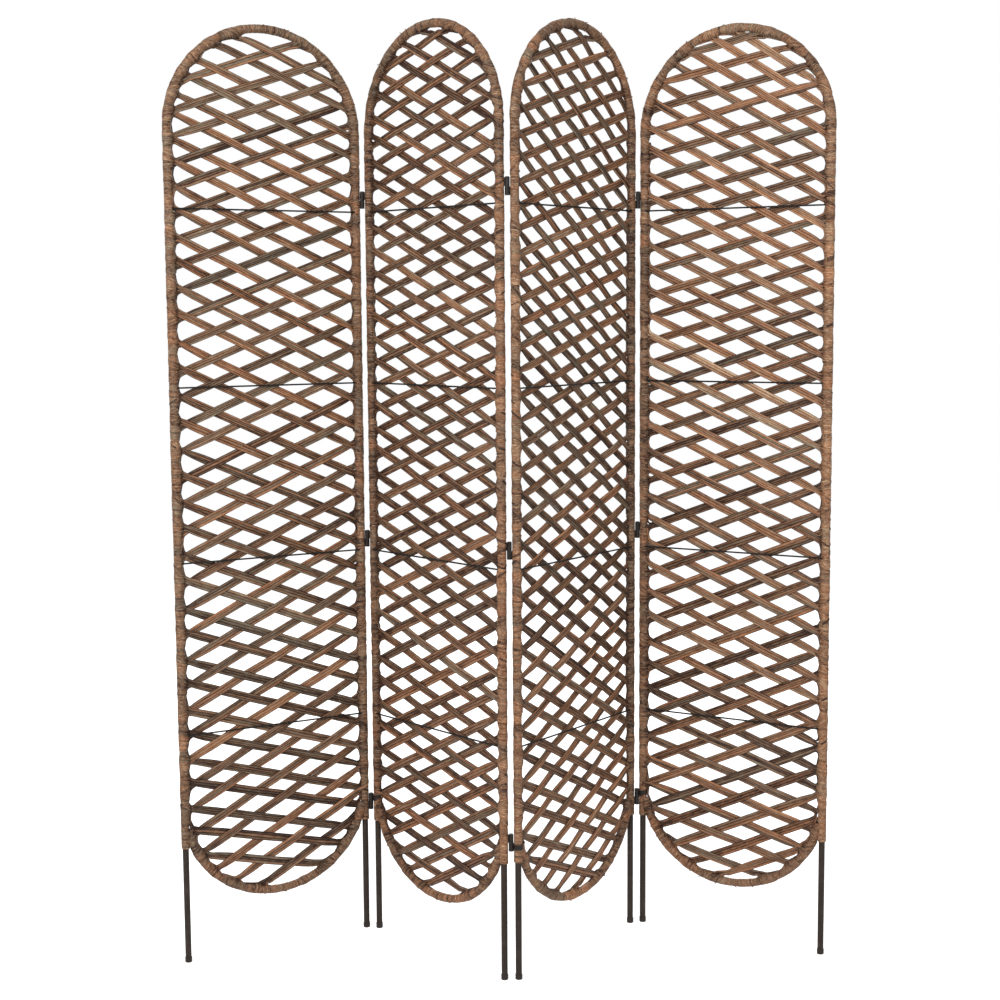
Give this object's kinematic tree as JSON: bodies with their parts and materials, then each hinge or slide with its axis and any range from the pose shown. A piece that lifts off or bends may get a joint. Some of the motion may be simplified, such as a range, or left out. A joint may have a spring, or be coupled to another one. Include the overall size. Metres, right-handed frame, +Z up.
{
  "type": "folding screen",
  "caption": "Folding screen of hinged round-ended panels: diagonal woven cane strips in cane-wrapped steel hoops on short legs.",
  "frame": {"origin": "middle of the footprint's box on the floor", "axes": "+Z up, +X along the row of panels from panel 1 to panel 4, fronts towards -Y"},
  "size_m": [1.2528, 0.3288, 1.8],
  "materials": {
    "frame_steel": "satin dark bronze",
    "cane_wrap": "split cane wound round the bar, light brown with dark lines, semi-matt",
    "cane_falling": "bundles of round cane, brown, semi-matt",
    "cane_rising": "bundles of round cane, grey-brown, semi-matt",
    "wire": "black, satin",
    "hinge_steel": "black, satin",
    "foot_plastic": "moulded, matt"
  },
  "bodies": {
    "panel_1": {"frame_1": "frame_steel", "bottom_arc_1": "frame_steel", "wrapping_1": "cane_wrap", "falling_strips_1": "cane_falling", "rising_strips_1": "cane_rising", "cross_wires_1": "wire", "foot_caps_1": "foot_plastic", "hinge_12_low_left": "hinge_steel", "hinge_12_low_pin": "hinge_steel", "hinge_12_middle_left": "hinge_steel", "hinge_12_middle_pin": "hinge_steel", "hinge_12_high_left": "hinge_steel", "hinge_12_high_pin": "hinge_steel"},
    "panel_2": {"frame_2": "frame_steel", "bottom_arc_2": "frame_steel", "wrapping_2": "cane_wrap", "falling_strips_2": "cane_falling", "rising_strips_2": "cane_rising", "cross_wires_2": "wire", "foot_caps_2": "foot_plastic", "hinge_12_low_right": "hinge_steel", "hinge_12_middle_right": "hinge_steel", "hinge_12_high_right": "hinge_steel", "hinge_23_low_left": "hinge_steel", "hinge_23_middle_left": "hinge_steel", "hinge_23_high_left": "hinge_steel"},
    "panel_3": {"frame_3": "frame_steel", "bottom_arc_3": "frame_steel", "wrapping_3": "cane_wrap", "falling_strips_3": "cane_falling", "rising_strips_3": "cane_rising", "cross_wires_3": "wire", "foot_caps_3": "foot_plastic", "hinge_23_low_right": "hinge_steel", "hinge_23_low_pin": "hinge_steel", "hinge_23_middle_right": "hinge_steel", "hinge_23_middle_pin": "hinge_steel", "hinge_23_high_right": "hinge_steel", "hinge_23_high_pin": "hinge_steel", "hinge_34_low_left": "hinge_steel", "hinge_34_low_pin": "hinge_steel", "hinge_34_middle_left": "hinge_steel", "hinge_34_middle_pin": "hinge_steel", "hinge_34_high_left": "hinge_steel", "hinge_34_high_pin": "hinge_steel"},
    "panel_4": {"frame_4": "frame_steel", "bottom_arc_4": "frame_steel", "wrapping_4": "cane_wrap", "falling_strips_4": "cane_falling", "rising_strips_4": "cane_rising", "cross_wires_4": "wire", "foot_caps_4": "foot_plastic", "hinge_34_low_right": "hinge_steel", "hinge_34_middle_right": "hinge_steel", "hinge_34_high_right": "hinge_steel"}
  },
  "joints": [
    {"name": "hinge_12", "type": "hinge", "parent": "panel_2", "child": "panel_1", "pos_m": [-0.27158, 0.12966, 0.85], "axis": [0, 0, 1], "range_deg": [-77.5, 102.5]},
    {"name": "hinge_23", "type": "hinge", "parent": "panel_2", "child": "panel_3", "pos_m": [0.01166, -0.15637, 0.85], "axis": [0, 0, 1], "range_deg": [-100.5, 79.5]},
    {"name": "hinge_34", "type": "hinge", "parent": "panel_3", "child": "panel_4", "pos_m": [0.27158, 0.151, 0.85], "axis": [0, 0, 1], "range_deg": [-98, 82]}
  ]
}
